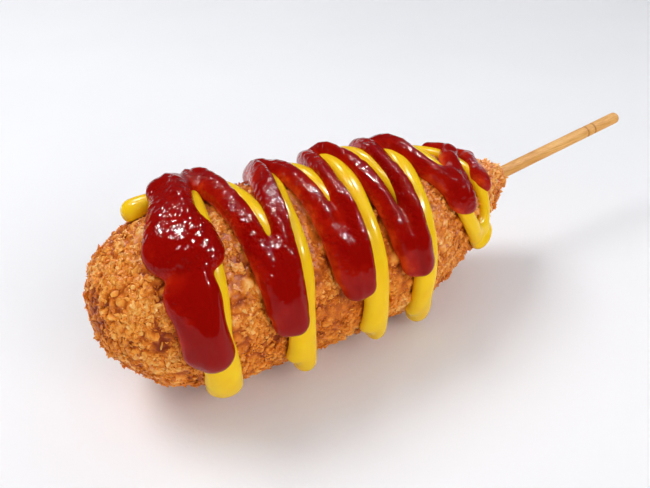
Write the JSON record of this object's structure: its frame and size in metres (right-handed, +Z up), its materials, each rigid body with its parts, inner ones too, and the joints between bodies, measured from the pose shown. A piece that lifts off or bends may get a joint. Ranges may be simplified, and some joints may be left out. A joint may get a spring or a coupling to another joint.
{
  "type": "corn dog",
  "caption": "Breaded and fried corn dog on a bamboo stick, lying on its side, with zigzags of mustard and ketchup over its top and front flank.",
  "frame": {"origin": "on the surface that the corn dog lies on, under the middle of its bounding box", "axes": "+X from the nose to the stick's free end, +Y away from the flank that the sauce runs down, +Z up"},
  "size_m": [0.2166, 0.0598, 0.0609],
  "materials": {
    "crust": "fried breadcrumbs, golden brown, rough, with a little oil",
    "stick": "plain bamboo, satin",
    "mustard": "smooth, glossy, opaque",
    "ketchup": "wet, very glossy"
  },
  "bodies": {
    "root": {"crust": "crust", "stick": "stick", "mustard": "mustard", "ketchup": "ketchup"}
  },
  "joints": []
}
